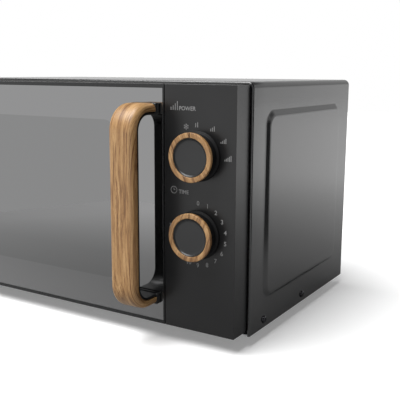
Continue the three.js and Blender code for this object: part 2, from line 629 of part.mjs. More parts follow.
function doorScreen() {
  const { x, y, z, sheet } = PAN;
  const hollow = box([x[0] + sheet, x[1] - sheet], [y[0] + sheet, y[1] + 9], [z[0] + sheet, z[1] - sheet]);
  return cut(box(x, y, z), hollow);
}

function chokeCover() {
  const edge = DOOR.wall + GAP;
  const z = [FACE.bottom + edge, FACE.top - edge];
  const outer = box([doorX[0] + edge, doorX[1] - edge], [CHOKE.y, DOOR.back], z);
  const opening = prismY(roundedRect(CHOKE.x, CHOKE.z, CHOKE.corner), [10, 30]);
  const hookSlots = LATCH.hooks.map((hook) => box(spanAround(LATCH.x, 3), [10, 30], [hook - 6, hook + 11]));
  return cut(outer, opening, ...hookSlots, ...hingeNotches());
}

// Stations down the middle of a layer of the C-shaped handle, inset from its outer face.
function handleStations(inset, tip) {
  const [low, high] = HANDLE.z;
  const centreY = HANDLE.bend - HANDLE.reach;
  const radius = HANDLE.bend - inset;
  const steps = 6;
  const stations = [{ y: tip, z: high - inset, ny: 0, nz: -1 }];
  for (const [centreZ, start] of [[high - HANDLE.bend, 0], [low + HANDLE.bend, Math.PI / 2]]) {
    for (let i = 0; i <= steps; i += 1) {
      const turn = start + (i * Math.PI) / 2 / steps;
      const [ny, nz] = [Math.sin(turn), -Math.cos(turn)];
      stations.push({ y: centreY - radius * ny, z: centreZ - radius * nz, ny, nz });
    }
  }
  stations.push({ y: tip, z: low + inset, ny: 0, nz: 1 });
  return stations;
}

function handleLayer(section, inset, tip) {
  const loops = handleStations(inset, tip).map(({ y, z, ny, nz }) =>
    section.map(({ x: depth, y: across }) => new THREE.Vector3(handleX + across, y + ny * depth, z + nz * depth)));
  return loft(loops);
}

function handleGrip() {
  const half = (HANDLE.x[1] - HANDLE.x[0]) / 2;
  const section = new THREE.Shape();
  const deep = HANDLE.wood;
  const radius = HANDLE.edge;
  section.moveTo(deep, -half);
  section.lineTo(deep, half);
  section.lineTo(radius, half);
  section.absarc(radius, half - radius, radius, Math.PI / 2, Math.PI, false);
  section.lineTo(0, -half + radius);
  section.absarc(radius, -half + radius, radius, Math.PI, 1.5 * Math.PI, false);
  section.closePath();
  const points = section.getPoints(4).slice(0, -1);
  return handleLayer(points, 0, HANDLE.block_y - GAP);
}

function handleCore() {
  const half = (HANDLE.x[1] - HANDLE.x[0]) / 2 - HANDLE.core_inset;
  const inset = HANDLE.wood + GAP;
  const section = [[0, -half], [0, half], [HANDLE.core, half], [HANDLE.core, -half]];
  const strap = handleLayer(section.map(([x, y]) => ({ x, y })), inset, -GAP);
  const thick = inset + HANDLE.core;
  const [low, high] = HANDLE.z;
  const ends = [[low, low + thick], [high - thick, high]].map((z) => box(HANDLE.x, [HANDLE.block_y, -GAP], z));
  const studs = stems.map((z) => rod('y', [-4, 5.7], HANDLE.stem, [handleX, z], 14));
  return join(strap, ...ends, ...studs);
}

function latchHook() {
  const bar = box(spanAround(LATCH.x, LATCH.bar_half), LATCH.bar_y, LATCH.bar);
  const x = spanAround(LATCH.x, LATCH.hook_half);
  const hooks = LATCH.hooks.flatMap((z) => [
    box(x, [LATCH.bar_y[1] - 1, LATCH.reach], [z - 1, z + 5]),
    box(x, [LATCH.barb_y, LATCH.reach], [z - 4.5, z + 1]),
  ]);
  return join(bar, ...hooks);
}

// ---------------------------------------------------------------- build
piece('outer_case', outerCase(), casePaint());
piece('base_plate', basePlate(), zincSteel());
piece('back_panel', backPanel(), zincSteel());
piece('front_plate', frontPlate(), cavityPaint());
piece('cavity_liner', cavityLiner(), cavityPaint());
piece('waveguide_cover', box(COVER.x, COVER.y, COVER.z), mica());
piece('waveguide', waveguide(), zincSteel());
piece('control_panel', controlPanel(), blackPlastic());
piece('hinge_upper', hinge(true), zincSteel());
piece('hinge_lower', hinge(false), zincSteel());
[[-1, 0], [1, 0], [-1, 1], [1, 1]].forEach(([side, row], i) => {
  piece(`foot_${i + 1}`, foot(side * FOOT.x, FOOT.y[row]), rubber());
  piece(`case_screw_${i + 1}`, caseScrew(side, SCREW.y[row]), finish(0x1a1a1a, 0.3, 0.8));
});
piece('power_selector', rotaryUnit(KNOB.power_z, UNIT.power), whitePlastic());
piece('timer_unit', rotaryUnit(KNOB.timer_z, UNIT.timer), zincSteel());
piece('timer_bell', timerBell(), zincSteel());
piece('latch_housing', latchHousing(), whitePlastic());
piece('door_switch_lower', doorSwitch(LATCH.hooks[0]), blackPlastic());
piece('door_switch_upper', doorSwitch(LATCH.hooks[1]), blackPlastic());
piece('transformer_core', transformerCore(), finish(0x55504a, 0.6, 0.7));
piece('transformer_primary', winding(TRANSFORMER.primary), copper());
piece('transformer_secondary', winding(TRANSFORMER.secondary), copper());
piece('capacitor', capacitor(), zincSteel());
piece('high_voltage_diode', diode(), blackPlastic());
piece('magnetron', magnetron(), zincSteel());
piece('magnetron_antenna', magnetronAntenna(), copper());
piece('filter_board', filterBoard(), board());
piece('thermal_cutout', thermalCutout(), blackPlastic());
piece('lamp_holder', lampHolder(), whitePlastic());
piece('lamp_bulb', lampBulb(), clearGlass());
piece('cord_gland', cordGland(), rubber());
piece('fan_shroud', fanShroud(), whitePlastic());
piece('fan_motor', fanMotor(), zincSteel());
piece('fan_impeller', fanImpeller(), whitePlastic());
piece('turntable_motor', turntableMotor(), zincSteel());
piece('turntable_coupler', turntableCoupler(), whitePlastic());
piece('turntable_plate', turntablePlate(), clearGlass());
piece('roller_ring', rollerRing(), whitePlastic());
thirds.forEach((turn, i) => piece(`roller_${i + 1}`, roller(turn), whitePlastic()));
[['power', KNOB.power_z], ['timer', KNOB.timer_z]].forEach(([name, z]) => {
  piece(`${name}_knob_body`, knobBody(z), blackPlastic());
  piece(`${name}_knob_ring`, knobRing(z), wood());
  piece(`${name}_knob_cap`, knobCap(z), blackPlastic());
});
piece('door_frame', doorFrame(), blackPlastic());
piece('door_glass', doorGlass(), mirrorGlass());
piece('door_screen', doorScreen(), cavityPaint());
piece('choke_cover', chokeCover(), blackPlastic());
piece('handle_core', handleCore(), blackPlastic());
piece('handle_grip', handleGrip(), wood());
piece('latch_hook', latchHook(), whitePlastic());
piece('latch_spring', rod('z', [LATCH.bar[1] + GAP, LATCH.stop[0] - GAP], 3, [LATCH.x, 10.5], 16), zincSteel());

// The origin is the middle of the footprint, from the handle's face to the back of the inlet.
oven.position.y = (HANDLE.reach - GLAND.back) / 2;

export default oven;
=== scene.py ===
"""Looks of the compact microwave oven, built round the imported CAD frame. Units are metres."""
import json
import math

import bmesh
import bpy
from mathutils import Matrix, Vector

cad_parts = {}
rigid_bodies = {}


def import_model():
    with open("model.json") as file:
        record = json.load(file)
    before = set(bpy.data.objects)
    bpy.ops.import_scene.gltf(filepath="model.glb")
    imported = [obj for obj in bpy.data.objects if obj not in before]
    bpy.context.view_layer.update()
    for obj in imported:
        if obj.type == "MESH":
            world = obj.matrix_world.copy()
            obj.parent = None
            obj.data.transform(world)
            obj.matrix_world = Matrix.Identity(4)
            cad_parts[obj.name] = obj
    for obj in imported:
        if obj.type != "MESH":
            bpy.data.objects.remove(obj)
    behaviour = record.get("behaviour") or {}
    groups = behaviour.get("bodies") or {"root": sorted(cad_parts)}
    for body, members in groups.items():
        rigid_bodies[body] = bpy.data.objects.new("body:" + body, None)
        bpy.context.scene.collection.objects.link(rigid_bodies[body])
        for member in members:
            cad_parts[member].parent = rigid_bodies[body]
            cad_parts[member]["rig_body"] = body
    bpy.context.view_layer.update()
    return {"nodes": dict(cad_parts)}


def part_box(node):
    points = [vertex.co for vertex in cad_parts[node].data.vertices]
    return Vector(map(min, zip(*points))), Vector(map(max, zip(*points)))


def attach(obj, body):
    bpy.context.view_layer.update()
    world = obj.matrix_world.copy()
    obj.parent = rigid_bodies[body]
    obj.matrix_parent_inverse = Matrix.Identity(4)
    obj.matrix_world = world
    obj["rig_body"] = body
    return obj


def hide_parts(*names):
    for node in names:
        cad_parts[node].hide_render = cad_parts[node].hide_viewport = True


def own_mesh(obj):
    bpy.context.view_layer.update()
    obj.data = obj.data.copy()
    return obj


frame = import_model()
NODES = frame["nodes"]
MM = 0.001

# ---------------------------------------------------------------- places taken from the frame
PANEL_LO, PANEL_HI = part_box("control_panel")
DOOR_LO, DOOR_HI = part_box("door_frame")
GLASS_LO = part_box("door_glass")[0]
CASE_LO, CASE_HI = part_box("outer_case")
SCREEN_LO, SCREEN_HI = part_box("door_screen")
FRONT = PANEL_LO.y                                # the plane of the glass and the panel
WINDOW_X = (DOOR_LO.x + 45.4 * MM, DOOR_HI.x - 72.5 * MM)
WINDOW_Z = (DOOR_LO.z + 37.5 * MM, DOOR_HI.z - 36.5 * MM)
WINDOW_RADIUS = 14 * MM
PRINT_MARGIN = 13 * MM                            # the glass's darker band is this much wider
PRINT_HALF = 0.02 * MM                            # half the thickness of the printed marks
CASE_BEND = 6 * MM                                # radius of the case's upper long edges


def middle(node):
    low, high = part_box(node)
    return (low + high) / 2


# ---------------------------------------------------------------- camera
def make_camera():
    camera = bpy.data.objects.new("camera", bpy.data.cameras.new("camera"))
    bpy.context.scene.collection.objects.link(camera)
    corner = Vector((PANEL_HI.x, PANEL_LO.y, PANEL_LO.z))
    camera.location = corner + Vector((0.2947, -0.5413, 0.2514))
    yaw, pitch, roll = (math.radians(angle) for angle in (31.6, 10.63, 0.32))
    turn = Matrix.Rotation(yaw, 4, "Z") @ Matrix.Rotation(math.pi / 2 - pitch, 4, "X")
    camera.rotation_euler = (turn @ Matrix.Rotation(roll, 4, "Z")).to_euler()
    camera.data.sensor_width = 36
    camera.data.lens = 61.45
    camera.data.clip_start = 0.01
    bpy.context.scene.camera = camera


# ---------------------------------------------------------------- material helpers
class Shader:
    """A node material, with short names for the nodes that the finishes share."""

    def __init__(self, name):
        self.material = bpy.data.materials.new(name)
        self.material.use_nodes = True
        self.nodes = self.material.node_tree.nodes
        self.links = self.material.node_tree.links
        self.bsdf = self.nodes["Principled BSDF"]

    def set(self, **values):
        for name, value in values.items():
            self.bsdf.inputs[name.replace("_", " ")].default_value = value

    def join(self, start, end):
        self.links.new(start, end)

    def mapped(self, vector, scale):
        mapping = self.nodes.new("ShaderNodeMapping")
        mapping.inputs["Scale"].default_value = scale
        self.join(vector, mapping.inputs["Vector"])
        return mapping.outputs["Vector"]

    def coords(self, scale=(1, 1, 1)):
        """Places on the object, in metres."""
        source = self.nodes.new("ShaderNodeTexCoord")
        return self.mapped(source.outputs["Object"], scale)

    def noise(self, scale, detail, stretch=(1, 1, 1), rough=0.5, vector=None):
        """Noise over the object's own places, or over another vector."""
        vector = self.mapped(vector, stretch) if vector else self.coords(stretch)
        node = self.nodes.new("ShaderNodeTexNoise")
        node.inputs["Scale"].default_value = scale
        node.inputs["Detail"].default_value = detail
        node.inputs["Roughness"].default_value = rough
        self.join(vector, node.inputs["Vector"])
        return node.outputs["Fac"]

    def ramp(self, value, stops):
        node = self.nodes.new("ShaderNodeValToRGB")
        elements = node.color_ramp.elements
        while len(elements) < len(stops):
            elements.new(0.5)
        for element, (place, colour) in zip(elements, stops):
            element.position = place
            element.color = (*colour, 1.0)
        self.join(value, node.inputs["Fac"])
        return node.outputs["Color"]

    def spread(self, value, low, high):
        node = self.nodes.new("ShaderNodeMapRange")
        node.inputs["To Min"].default_value = low
        node.inputs["To Max"].default_value = high
        self.join(value, node.inputs["Value"])
        return node.outputs["Result"]

    def math(self, operation, *values):
        node = self.nodes.new("ShaderNodeMath")
        node.operation = operation
        for slot, value in enumerate(values):
            if isinstance(value, (int, float)):
                node.inputs[slot].default_value = value
            else:
                self.join(value, node.inputs[slot])
        return node.outputs["Value"]

    def bump(self, height, distance, strength=1.0):
        node = self.nodes.new("ShaderNodeBump")
        node.inputs["Distance"].default_value = distance
        node.inputs["Strength"].default_value = strength
        self.join(height, node.inputs["Height"])
        self.join(node.outputs["Normal"], self.bsdf.inputs["Normal"])

    def mixed(self, first, second, factor=1.0, blend="MIX"):
        """Two colours mixed; each argument is a socket or a fixed value."""
        node = self.nodes.new("ShaderNodeMix")
        node.data_type = "RGBA"
        node.blend_type = blend
        for slot, value in (("A", first), ("B", second), ("Factor", factor)):
            if isinstance(value, bpy.types.NodeSocket):
                self.join(value, node.inputs[slot])
            else:
                node.inputs[slot].default_value = value
        return node.outputs["Result"]

    def colour_from(self, socket):
        self.join(socket, self.bsdf.inputs["Base Color"])

    def roughness_from(self, socket):
        self.join(socket, self.bsdf.inputs["Roughness"])


def moulding(name, colour, roughness, grain=900, depth=0.00002, specular=0.5, metallic=0.0, ior=1.5):
    """A surface with a fine even grain and a slow drift in its colour and roughness."""
    shader = Shader(name)
    shader.set(Metallic=metallic, Specular_IOR_Level=specular, IOR=ior)
    drift = shader.noise(18, 2)
    lighter = tuple(min(1.0, c * 1.12) for c in colour)
    darker = tuple(c * 0.9 for c in colour)
    shader.colour_from(shader.ramp(drift, [(0.3, darker), (0.7, lighter)]))
    fine = shader.noise(grain, 2)
    shader.roughness_from(shader.spread(fine, roughness * 0.88, roughness * 1.12))
    shader.bump(fine, depth, 0.6)
    return shader.material


def brushed(name, colour, roughness, stretch, metallic=1.0):
    """Sheet metal with fine rolling lines."""
    shader = Shader(name)
    shader.set(Metallic=metallic)
    lines = shader.noise(60, 4, stretch, 0.7)
    darker = tuple(c * 0.82 for c in colour)
    shader.colour_from(shader.ramp(lines, [(0.3, darker), (0.7, colour)]))
    shader.roughness_from(shader.spread(lines, roughness * 0.8, roughness * 1.25))
    shader.bump(lines, 0.00002, 0.3)
    return shader.material


def wood(name, sway_scale, line_scale):
    """Light brown wood. The mesh's grain attribute holds (across, depth, along) in metres."""
    shader = Shader(name)
    shader.set(Specular_IOR_Level=0.6)
    source = shader.nodes.new("ShaderNodeAttribute")
    source.attribute_name = "grain"
    straight = source.outputs["Vector"]
    slow = shader.noise(sway_scale, 1.5, (1, 1, 0.3), 0.55, straight)
    shift = shader.math("MULTIPLY", shader.math("SUBTRACT", slow, 0.5), 0.03)
    pair = shader.nodes.new("ShaderNodeCombineXYZ")
    shader.join(shift, pair.inputs["X"])
    shader.join(shift, pair.inputs["Y"])
    sway = shader.nodes.new("ShaderNodeVectorMath")
    shader.join(straight, sway.inputs[0])
    shader.join(pair.outputs["Vector"], sway.inputs[1])
    swayed = sway.outputs["Vector"]
    figure = shader.noise(line_scale * 0.33, 3, (1, 1, 0.05), 0.55, swayed)
    lines = shader.noise(line_scale, 5, (1, 1, 0.012), 0.65, swayed)
    pores = shader.noise(line_scale * 3.4, 2, (1, 1, 0.06), 0.55, swayed)
    tone = shader.ramp(figure, [
        (0.34, (0.27, 0.138, 0.05)), (0.48, (0.41, 0.226, 0.087)), (0.66, (0.55, 0.333, 0.148)),
    ])
    dark = shader.ramp(lines, [
        (0.37, (0.38, 0.29, 0.22)), (0.455, (0.82, 0.77, 0.71)), (0.53, (1.0, 1.0, 1.0)),
    ])
    fleck = shader.ramp(pores, [(0.32, (0.62, 0.56, 0.5)), (0.44, (1.0, 1.0, 1.0))])
    for over in (dark, fleck):
        tone = shader.mixed(tone, over, blend="MULTIPLY")
    shader.colour_from(tone)
    shader.roughness_from(shader.spread(lines, 0.5, 0.34))
    shader.bump(shader.math("ADD", pores, lines), 0.00005, 0.5)
    return shader.material


def add_grain(obj, values):
    """Stores the grain coordinates of each vertex for the wood finish."""
    attribute = obj.data.attributes.new("grain", "FLOAT_VECTOR", "POINT")
    for item, value in zip(attribute.data, values):
        item.vector = value


def rounded_mask(shader, xs, zs, radius):
    """1 inside a rounded rectangle in x and z, 0 outside."""
    split = shader.nodes.new("ShaderNodeSeparateXYZ")
    shader.join(shader.coords(), split.inputs["Vector"])
    parts = []
    for axis, (low, high) in (("X", xs), ("Z", zs)):
        offset = shader.math("SUBTRACT", split.outputs[axis], (low + high) / 2)
        reach = shader.math("SUBTRACT", shader.math("ABSOLUTE", offset), (high - low) / 2 - radius)
        parts.append(shader.math("MAXIMUM", reach, 0.0))
    squares = [shader.math("MULTIPLY", part, part) for part in parts]
    distance = shader.math("SQRT", shader.math("ADD", *squares))
    return shader.math("LESS_THAN", distance, radius)


def mirror_pane():
    """Grey mirror-coated glass, a little darker where the viewing window is."""
    shader = Shader("mirror_glass")
    shader.set(Metallic=1.0)
    printed = (WINDOW_X[0] - PRINT_MARGIN, WINDOW_X[1] + PRINT_MARGIN)
    mask = rounded_mask(shader, printed, WINDOW_Z, WINDOW_RADIUS)
    shader.colour_from(shader.mixed((0.285, 0.285, 0.287, 1), (0.245, 0.246, 0.247, 1), mask))
    haze = shader.noise(25, 2)
    shader.roughness_from(shader.spread(haze, 0.02, 0.035))
    return shader.material


def clear_glass(name, tint, ior=1.45):
    shader = Shader(name)
    shader.set(Transmission_Weight=1.0, IOR=ior)
    waves = shader.noise(30, 2)
    shader.colour_from(shader.ramp(waves, [(0.3, tuple(c * 0.97 for c in tint)), (0.7, tint)]))
    shader.roughness_from(shader.spread(waves, 0.01, 0.04))
    return shader.material


def finishes():
    """Every finish by name."""
    return {
        "case": moulding("case_paint", (0.008, 0.008, 0.0085), 0.2, 1400, 0.000004, 0.5, 0.0, 1.9),
        "panel": moulding("panel_plastic", (0.0095, 0.0095, 0.01), 0.3, 1100, 0.00002),
        "door": moulding("door_plastic", (0.01, 0.0105, 0.011), 0.28, 1100, 0.00002),
        "skirt": moulding("knob_skirt_plastic", (0.006, 0.006, 0.0065), 0.6, 900, 0.00002, 0.2),
        "core": moulding("handle_plastic", (0.008, 0.0085, 0.009), 0.3, 1100, 0.00001),
        "cap": moulding("knob_cap_plastic", (0.017, 0.0175, 0.018), 0.33, 1500, 0.00001),
        "inner_black": moulding("inner_black_plastic", (0.018, 0.018, 0.019), 0.45, 800),
        "switch_black": moulding("switch_plastic", (0.02, 0.02, 0.022), 0.5, 700),
        "rubber": moulding("foot_rubber", (0.015, 0.015, 0.015), 0.75, 600, 0.00005, 0.3),
        "screw": moulding("black_screw", (0.05, 0.05, 0.055), 0.2, 900, 0.00001, 0.5, 0.9),
        "enamel": moulding("cavity_enamel", (0.56, 0.555, 0.53), 0.33, 260, 0.00004),
        "white": moulding("white_plastic", (0.72, 0.71, 0.66), 0.45, 700),
        "zinc": brushed("zinc_steel", (0.62, 0.63, 0.65), 0.36, (1, 1, 0.05)),
        "zinc_back": brushed("zinc_back", (0.55, 0.56, 0.58), 0.4, (0.04, 1, 1)),
        "laminations": brushed("lamination_steel", (0.16, 0.14, 0.12), 0.5, (1, 0.02, 0.02), 0.8),
        "copper": brushed("copper_wire", (0.62, 0.26, 0.12), 0.35, (0.02, 0.02, 1)),
        "mica": moulding("mica_sheet", (0.42, 0.37, 0.27), 0.5, 150, 0.00006),
        "board": moulding("circuit_board", (0.25, 0.16, 0.06), 0.5, 500),
        "print": moulding("grey_print", (0.26, 0.26, 0.26), 0.5, 900, 0.000005, 0.3),
        "pointer": moulding("pointer_ink", (0.03, 0.014, 0.008), 0.5, 900, 0.000005, 0.3),
        "wood": wood("wood_handle", 20, 900),
        "wood_ring": wood("wood_ring", 30, 520),
        "mirror": mirror_pane(),
        "tray_glass": clear_glass("tray_glass", (0.9, 0.97, 0.95), 1.5),
        "film": clear_glass("window_film", (0.93, 0.95, 0.95)),
        "bulb": clear_glass("bulb_glass", (0.95, 0.95, 0.92)),
    }


FINISH = finishes()


def paint(obj, finish):
    obj.data.materials.clear()
    obj.data.materials.append(FINISH[finish])
    return obj


# ---------------------------------------------------------------- mesh helpers
def new_object(name, bm, finish, body, replaced=()):
    """Turns a bmesh into a piece that rides on a body and stands for CAD nodes."""
    mesh = bpy.data.meshes.new(name)
    bm.to_mesh(mesh)
    bm.free()
    obj = bpy.data.objects.new(name, mesh)
    bpy.context.scene.collection.objects.link(obj)
    paint(obj, finish)
    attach(obj, body)
    if replaced:
        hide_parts(*replaced)
    return obj


def smooth(bm, sharp_degrees=38):
    limit = math.radians(sharp_degrees)
    for face in bm.faces:
        face.smooth = True
    for edge in bm.edges:
        edge.smooth = len(edge.link_faces) == 2 and edge.calc_face_angle(0) < limit


def weighted(obj):
    modifier = obj.modifiers.new("normals", "WEIGHTED_NORMAL")
    modifier.keep_sharp = True
    return obj


def refined(node, finish, bevel=0.4, segments=2):
    """The CAD node's own shape with softened edges and clean shading."""
    bm = bmesh.new()
    bm.from_mesh(NODES[node].data)
    bmesh.ops.remove_doubles(bm, verts=bm.verts, dist=0.003 * MM)
    bmesh.ops.dissolve_limit(bm, angle_limit=math.radians(0.6), verts=bm.verts, edges=bm.edges)
    edges = [e for e in bm.edges if len(e.link_faces) == 2 and e.calc_face_angle(0) > math.radians(33)]
    bmesh.ops.bevel(
        bm, geom=edges, offset=bevel * MM, segments=segments, profile=0.5,
        affect="EDGES", clamp_overlap=True,
    )
    smooth(bm)
    body = NODES[node]["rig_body"]
    return weighted(new_object(f"{node}_finished", bm, finish, body, [node]))


AXES = {
    "x": lambda c, along, u, v: Vector((along, c[0] + u, c[1] + v)),
    "y": lambda c, along, u, v: Vector((c[0] + u, along, c[1] + v)),
    "z": lambda c, along, u, v: Vector((c[0] + u, c[1] + v, along)),
}


def revolved(bm, axis, profile, centre, segments=96):
    """Adds a body turned about an axis. Its profile of (radius, place) ends on the axis or closes."""
    place = AXES[axis]
    rows = []
    for radius, along in profile:
        if radius < 1e-9:
            rows.append([bm.verts.new(place(centre, along, 0, 0))])
            continue
        turns = (2 * math.pi * i / segments for i in range(segments))
        spots = (place(centre, along, radius * math.cos(t), radius * math.sin(t)) for t in turns)
        rows.append([bm.verts.new(spot) for spot in spots])
    closed = len(rows[0]) > 1
    pairs = list(zip(rows, rows[1:]))
    if closed:
        pairs.append((rows[-1], rows[0]))
    for first, second in pairs:
        for i in range(segments):
            j = (i + 1) % segments
            if len(first) == 1:
                bm.faces.new((first[0], second[i], second[j]))
            elif len(second) == 1:
                bm.faces.new((first[i], first[j], second[0]))
            else:
                bm.faces.new((first[i], first[j], second[j], second[i]))
    bmesh.ops.recalc_face_normals(bm, faces=bm.faces)
    return bm


def rounded(points, radius, steps=4):
    """An open profile with its inner corners rounded by quarter-like arcs."""
    out = [points[0]]
    for before, here, after in zip(points, points[1:], points[2:]):
        p, a, b = Vector(here), Vector(before), Vector(after)
        reach = min(radius, (a - p).length / 2, (b - p).length / 2)
        start = p + (a - p).normalized() * reach
        end = p + (b - p).normalized() * reach
        for i in range(steps + 1):
            t = i / steps
            out.append(tuple((1 - t) ** 2 * start + 2 * t * (1 - t) * p + t * t * end))
    out.append(points[-1])
    return out


def turned_piece(name, axis, profile, centre, finish, body, replaced=(), segments=96):
    bm = revolved(bmesh.new(), axis, profile, centre, segments)
    smooth(bm, 45)
    return new_object(name, bm, finish, body, replaced)


def subtract(obj, bm):
    """Cuts a bmesh out of an object for good."""
    mesh = bpy.data.meshes.new("cutter")
    bm.to_mesh(mesh)
    bm.free()
    cutter = bpy.data.objects.new("cutter", mesh)
    bpy.context.scene.collection.objects.link(cutter)
    cut = obj.modifiers.new("cut", "BOOLEAN")
    cut.object = cutter
    cut.operation = "DIFFERENCE"
    cut.use_self = True
    bpy.context.view_layer.update()
    graph = bpy.context.evaluated_depsgraph_get()
    obj.data = bpy.data.meshes.new_from_object(obj.evaluated_get(graph))
    obj.modifiers.clear()
    bpy.data.objects.remove(cutter)
    return obj


def slab(bm, low, high):
    """Adds a box between two corners."""
    verts = bmesh.ops.create_cube(bm, size=1.0)["verts"]
    for v in verts:
        v.co = Vector(lo + (c + 0.5) * (hi - lo) for lo, hi, c in zip(low, high, v.co))
    return verts


# ---------------------------------------------------------------- case
EMBOSS_RISE, EMBOSS_SLOPE, EMBOSS_RADIUS = 3 * MM, 6 * MM, 16 * MM
EMBOSS_Y = (CASE_LO.y + 26 * MM, CASE_HI.y - 31.5 * MM)
EMBOSS_Z = (CASE_LO.z + 30 * MM, CASE_HI.z - 26.8 * MM)
WALL_X = CASE_HI.x - EMBOSS_RISE


def emboss_height(y, z):
    """How far the pressed panel stands proud of the wall at a place on it."""
    dy = max(EMBOSS_Y[0] + EMBOSS_RADIUS - y, y - EMBOSS_Y[1] + EMBOSS_RADIUS)
    dz = max(EMBOSS_Z[0] + EMBOSS_RADIUS - z, z - EMBOSS_Z[1] + EMBOSS_RADIUS)
    if dy > 0 and dz > 0:
        inside = EMBOSS_RADIUS - math.hypot(dy, dz)
    else:
        inside = EMBOSS_RADIUS - max(dy, dz)
    t = min(1.0, max(0.0, inside / EMBOSS_SLOPE))
    soft = 0.16                                   # share of the slope that each bend takes
    if t < soft:
        rise = t * t / (2 * soft)
    elif t > 1 - soft:
        rise = 1 - soft - (1 - t) ** 2 / (2 * soft)
    else:
        rise = t - soft / 2
    return EMBOSS_RISE * rise / (1 - soft)


def stations(low, high, edges):
    """Grid lines from low to high, close together where the pressed edge runs."""
    lines = {low, high, (low + high) / 2}
    for edge, side in zip(edges, (1, -1)):
        lines.update(edge + side * step * 0.75 * MM for step in range(-4, 25))
    return sorted(line for line in lines if low <= line <= high)


def case_path(inset, walls):
    """The wrap's outline from one lower edge over the top to the other, with a mark on its walls."""
    radius = CASE_BEND - inset
    half, top = WALL_X - inset, CASE_HI.z - inset
    arc = [math.pi / 2 * i / 8 for i in range(1, 8)]
    path = [(-half, z, True) for z in walls]
    across, up = half - radius, top - radius      # the centre of the right-hand bend
    path += [(-across - radius * math.cos(a), up + radius * math.sin(a), False) for a in arc]
    path += [(x, top, False) for x in (-across, 0.0, across)]
    path += [(across + radius * math.sin(a), up + radius * math.cos(a), False) for a in arc]
    return path + [(half, z, True) for z in reversed(walls)]


def make_case():
    """The wrap-round cover: a thin sheet whose front edge rolls inwards."""
    roll, lip = 0.8 * MM, 1.7 * MM
    walls = stations(CASE_LO.z, CASE_HI.z - CASE_BEND, EMBOSS_Z)
    turns = [math.pi / 2 * i / 6 for i in range(7)]
    rims = [(lip, CASE_LO.y)]
    rims += [(roll - roll * math.sin(t), CASE_LO.y + roll - roll * math.cos(t)) for t in turns]
    ys = [y for y in stations(CASE_LO.y, CASE_HI.y, EMBOSS_Y) if y > CASE_LO.y + roll]
    bm = bmesh.new()
    rows = []
    for inset, y in rims + [(0.0, y) for y in ys]:
        row = []
        for x, z, wall in case_path(inset, walls):
            flat = not wall or y <= CASE_LO.y + roll
            bulge = 0.0 if flat else math.copysign(emboss_height(y, z), x)
            row.append(bm.verts.new((x + bulge, y, z)))
        rows.append(row)
    for first, second in zip(rows, rows[1:]):
        for i in range(len(first) - 1):
            bm.faces.new((first[i], second[i], second[i + 1], first[i + 1]))
    smooth(bm, 60)
    case = new_object("case_wrap", bm, "case", "chassis", ["outer_case"])
    skin = case.modifiers.new("sheet", "SOLIDIFY")
    skin.thickness = 0.7 * MM
    skin.offset = -1


def make_screw(name, axis, centre, face, out, radius, body, replaced=()):
    """A pan head with a cross recess, its face looking along out (1 or -1) from a wall."""
    height = 0.7 * radius
    dome = [(0, 0), (radius, 0), (radius, 0.35), (radius * 0.9, 0.7), (radius * 0.6, 0.95), (0, 1.02)]
    profile = [(r, face + out * share * height) for r, share in dome]
    bm = revolved(bmesh.new(), axis, rounded(profile, radius * 0.25, 3), centre, 40)
    smooth(bm, 45)
    head = new_object(name, bm, "screw", body, replaced)
    cross = bmesh.new()
    arm, half, deep = radius * 0.55, radius * 0.11, 0.9 * MM
    top, floor = face + out * (height + 0.6 * MM), face + out * (height - deep)
    low, high = min(top, floor), max(top, floor)
    for u, v in ((arm, half), (half, arm)):
        corners = {
            "x": ((low, centre[0] - u, centre[1] - v), (high, centre[0] + u, centre[1] + v)),
            "y": ((centre[0] - u, low, centre[1] - v), (centre[0] + u, high, centre[1] + v)),
        }[axis]
        slab(cross, *corners)
    return subtract(head, cross)


def make_case_screws():
    for i in range(1, 5):
        node = f"case_screw_{i}"
        low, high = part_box(node)
        centre = middle(node)
        out = 1 if centre.x > 0 else -1
        face = out * (WALL_X + 0.05 * MM)
        radius = (high.z - low.z) / 2
        make_screw(f"{node}_head", "x", (centre.y, centre.z), face, out, radius, "chassis", [node])


def make_back():
    """The back sheet, its screws and the bush where a cord would enter."""
    refined("back_panel", "zinc_back", 0.15, 1)
    low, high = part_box("back_panel")
    inset = 9 * MM
    xs = [low.x + inset, 0.0, high.x - inset]
    places = [(x, z) for z in (low.z + inset, high.z - inset) for x in xs]
    places += [(x, (low.z + high.z) / 2) for x in (xs[0], xs[2])]
    for i, (x, z) in enumerate(places):
        make_screw(f"back_screw_{i + 1}", "y", (x, z), high.y + 0.05 * MM, 1, 3.6 * MM, "chassis")
    low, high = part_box("cord_gland")
    centre = middle("cord_gland")
    flange = (high.x - low.x) / 2
    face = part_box("back_panel")[1].y + 0.2 * MM
    profile = [
        (0.4 * flange, low.y), (0.63 * flange, low.y), (0.63 * flange, face), (flange, face),
        (flange, face + 1.4 * MM), (0.72 * flange, high.y), (0.4 * flange, high.y),
        (0.4 * flange, low.y + MM),
    ]
    centre = (centre.x, centre.z)
    turned_piece("cord_inlet", "y", profile, centre, "rubber", "chassis", ["cord_gland"], 48)


def make_feet():
    """Four rubber feet, hollow underneath."""
    for i in range(1, 5):
        node = f"foot_{i}"
        low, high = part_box(node)
        centre = middle(node)
        radius = (high.x - low.x) / 2
        base = CASE_LO.z
        profile = [
            (0, 1 * MM), (radius * 0.5, 1 * MM), (radius * 0.56, 0), (radius * 0.8, 0),
            (radius * 0.87, 0.8 * MM), (radius, base - 1.5 * MM), (radius, base - 0.1 * MM),
            (0, base - 0.1 * MM),
        ]
        profile = rounded(profile, 0.8 * MM)
        centre = (centre.x, centre.y)
        turned_piece(f"{node}_rubber", "z", profile, centre, "rubber", "chassis", [node], 48)


# ---------------------------------------------------------------- handle
HANDLE_LO, HANDLE_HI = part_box("handle_grip")
HANDLE_BEND = 26 * MM
WOOD_DEPTH = 8 * MM


